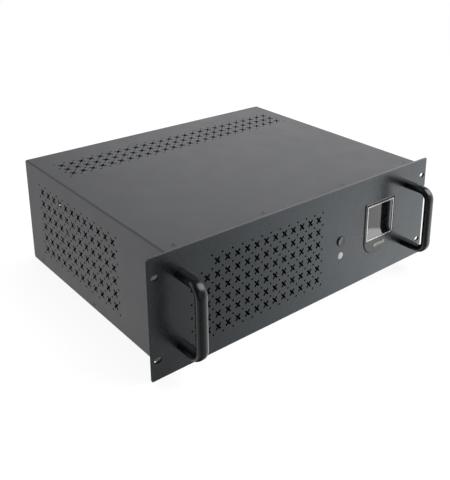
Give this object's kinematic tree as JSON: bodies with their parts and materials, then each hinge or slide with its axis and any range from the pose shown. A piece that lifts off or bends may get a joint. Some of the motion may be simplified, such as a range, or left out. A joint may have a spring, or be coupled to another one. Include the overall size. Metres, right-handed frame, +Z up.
{
  "type": "uninterruptible power supply",
  "caption": "Rack-mounted uninterruptible power supply: perforated dark case behind a three-and-a-half-unit panel with two bar handles, display, button and indicator.",
  "frame": {"origin": "centre of the four rack slots, on the front panel's rear face", "axes": "+X right seen from the front, +Y towards the rear, +Z up"},
  "size_m": [0.4826, 0.4196, 0.1554],
  "materials": {
    "panel_paint": "satin black powder coat",
    "case_paint": "satin dark grey powder coat, fine texture",
    "handle_black": "glossy black",
    "screw_black": "black steel",
    "zinc_steel": "zinc plated",
    "bezel_plastic": "glossy dark",
    "silver_trim": "satin silver",
    "window_glass": "glossy smoked",
    "lcd": "grey-green display",
    "circuit_board": "green solder mask",
    "button_plastic": "satin",
    "switch_plastic": "matte black",
    "lens_white": "milky",
    "fan_plastic": "matte black",
    "brass": "plain",
    "stator": "enamelled copper",
    "guard_chrome": "bright plated",
    "breaker_white": "white",
    "laminations": "varnished laminations",
    "winding_tape": "yellow tape",
    "battery_grey": "textured dark grey",
    "cable_black": "flexible insulation",
    "ribbon_grey": "grey ribbon",
    "heat_sink_aluminium": "extruded",
    "component_black": "matte black",
    "capacitor_sleeve": "blue-black sleeve",
    "connector_white": "natural nylon"
  },
  "bodies": {
    "case": {"front_panel": "panel_paint", "top_cover": "case_paint", "base_tray": "case_paint", "rear_panel": "case_paint", "handle_left": "handle_black", "handle_right": "handle_black", "cover_screws": "screw_black", "rear_screws": "screw_black", "fan_screws": "screw_black", "panel_nuts": "zinc_steel", "handle_fixings": "zinc_steel", "clinch_nuts": "zinc_steel", "board_spacers": "zinc_steel", "board_screws": "zinc_steel", "breaker_nut": "zinc_steel", "earth_terminal": "zinc_steel", "floor_screws": "zinc_steel", "transformer_bracket": "zinc_steel", "battery_pan": "zinc_steel", "battery_strap": "zinc_steel", "display_bezel": "bezel_plastic", "display_trim": "silver_trim", "badge_plate": "silver_trim", "display_window": "window_glass", "lcd_module": "lcd", "display_board": "circuit_board", "switch_board": "circuit_board", "comm_board": "circuit_board", "main_board": "circuit_board", "power_switch": "switch_plastic", "outlet_sockets": "switch_plastic", "mains_inlet": "switch_plastic", "breaker_body": "switch_plastic", "network_ports": "switch_plastic", "indicator_lens": "lens_white", "fan_frame": "fan_plastic", "fan_bearing": "brass", "inlet_pins": "brass", "battery_terminals": "brass", "fan_stator": "stator", "fan_guard": "guard_chrome", "usb_port": "guard_chrome", "transformer_core": "laminations", "transformer_winding": "winding_tape", "battery_front": "battery_grey", "battery_rear": "battery_grey", "battery_leads": "cable_black", "fan_cable": "cable_black", "mains_cables": "cable_black", "ribbon_cable": "ribbon_grey", "heat_sinks": "heat_sink_aluminium", "power_transistors": "component_black", "relays": "component_black", "pulse_transformer": "component_black", "capacitors": "capacitor_sleeve", "board_connectors": "connector_white"},
    "power_button": {"power_button": "button_plastic", "switch_plunger": "switch_plastic"},
    "breaker_button": {"breaker_button": "breaker_white"},
    "fan_rotor": {"fan_rotor": "fan_plastic"}
  },
  "joints": [
    {"name": "power_button_press", "type": "slide", "parent": "case", "child": "power_button", "axis": [0, 1, 0], "range_m": [0, 0.0018]},
    {"name": "breaker_trip", "type": "slide", "parent": "case", "child": "breaker_button", "axis": [0, 1, 0], "range_m": [0, 0.003]},
    {"name": "fan_spin", "type": "hinge", "parent": "case", "child": "fan_rotor", "pos_m": [-0.15, 0.348, 0], "axis": [0, 1, 0], "continuous": true}
  ]
}
